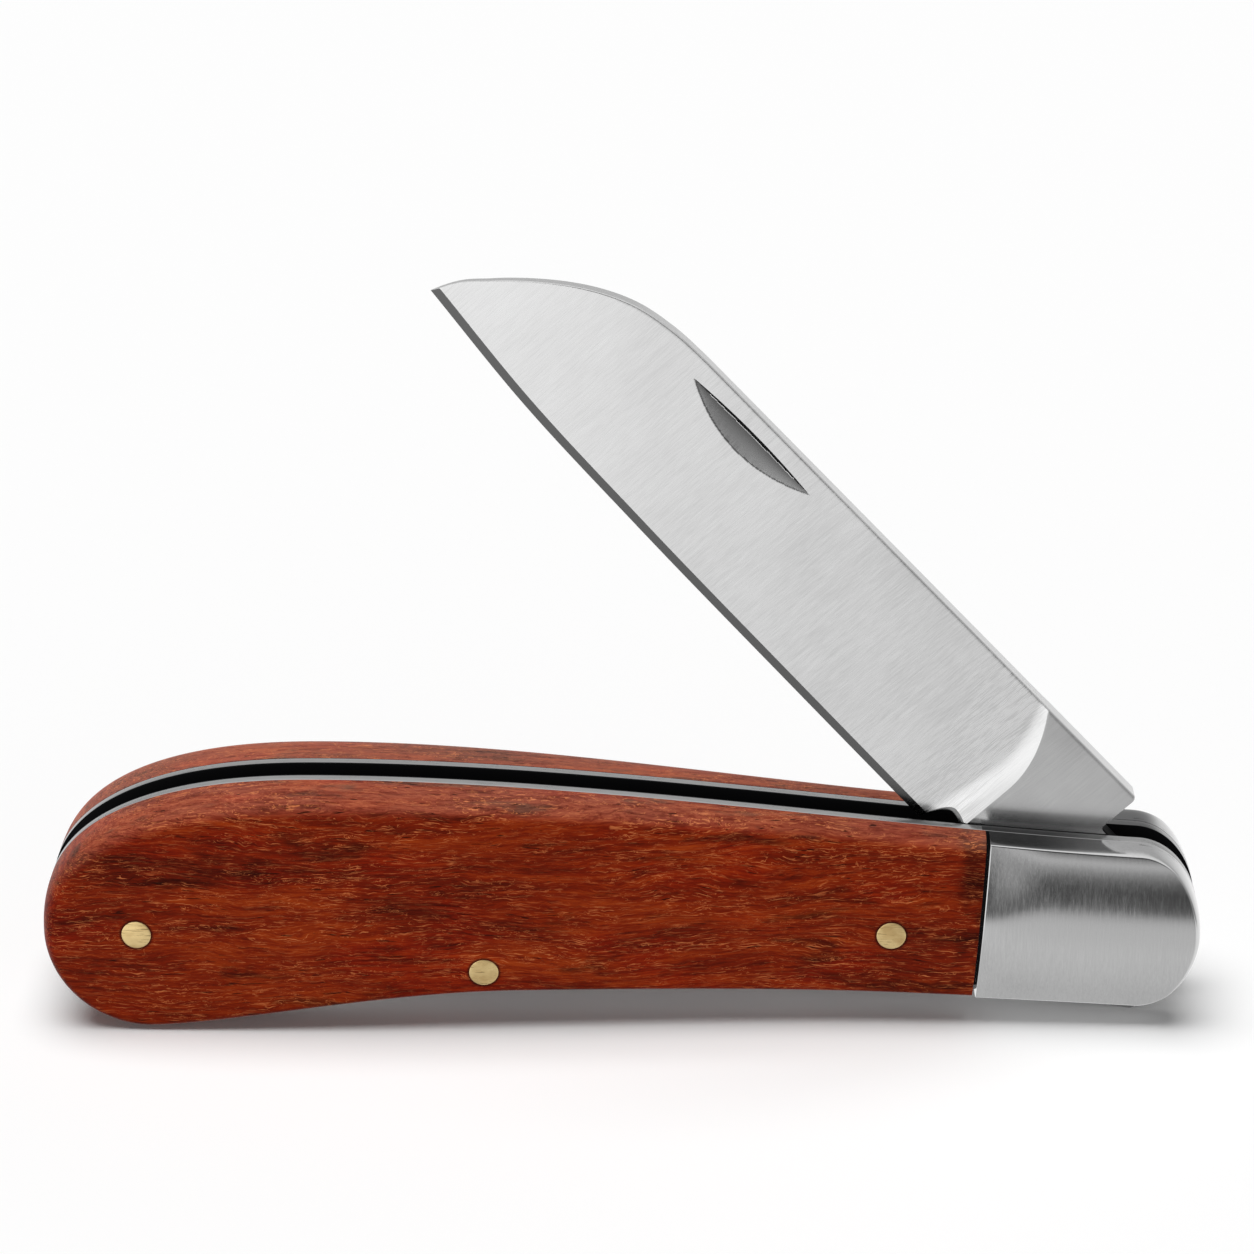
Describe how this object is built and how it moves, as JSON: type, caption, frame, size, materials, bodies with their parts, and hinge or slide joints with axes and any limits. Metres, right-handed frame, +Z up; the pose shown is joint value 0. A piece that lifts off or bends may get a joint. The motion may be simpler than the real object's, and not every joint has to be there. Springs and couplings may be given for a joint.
{
  "type": "folding pruning knife",
  "caption": "Slip-joint folding pruning knife: wooden scales, steel bolsters and liners, back spring and a straight-edged blade with a nail nick, standing half open on its back.",
  "frame": {"origin": "on the floor under the middle of the handle, half way through its thickness", "axes": "+X along the handle from the butt to the bolsters, +Y through the handle away from the nail nick, +Z up; the knife stands on its back with the blade half open"},
  "size_m": [0.113, 0.0174, 0.0747],
  "materials": {
    "wood": "oiled reddish hardwood, fine open grain along the handle",
    "bolster_steel": "brushed across the bolster",
    "liner_steel": "ground edges",
    "blade_steel": "satin, fine lines across the blade",
    "spring_steel": "dark ground steel",
    "brass": "filed flush, satin"
  },
  "bodies": {
    "handle": {"front_scale": "wood", "rear_scale": "wood", "front_bolster": "bolster_steel", "rear_bolster": "bolster_steel", "front_liner": "liner_steel", "rear_liner": "liner_steel", "back_spring": "spring_steel", "butt_pin": "brass", "centre_pin": "brass", "front_scale_pin": "brass", "rear_scale_pin": "brass", "front_lower_bolster_rivet": "spring_steel", "front_upper_bolster_rivet": "spring_steel", "rear_lower_bolster_rivet": "spring_steel", "rear_upper_bolster_rivet": "spring_steel", "pivot_pin": "spring_steel"},
    "blade": {"blade": "blade_steel"}
  },
  "joints": [
    {"name": "blade_pivot", "type": "hinge", "parent": "handle", "child": "blade", "pos_m": [0.0465, 0, 0.0123], "axis": [0, 1, 0], "range_deg": [-38.95, 136.73], "deforming": ["back_spring"]}
  ]
}
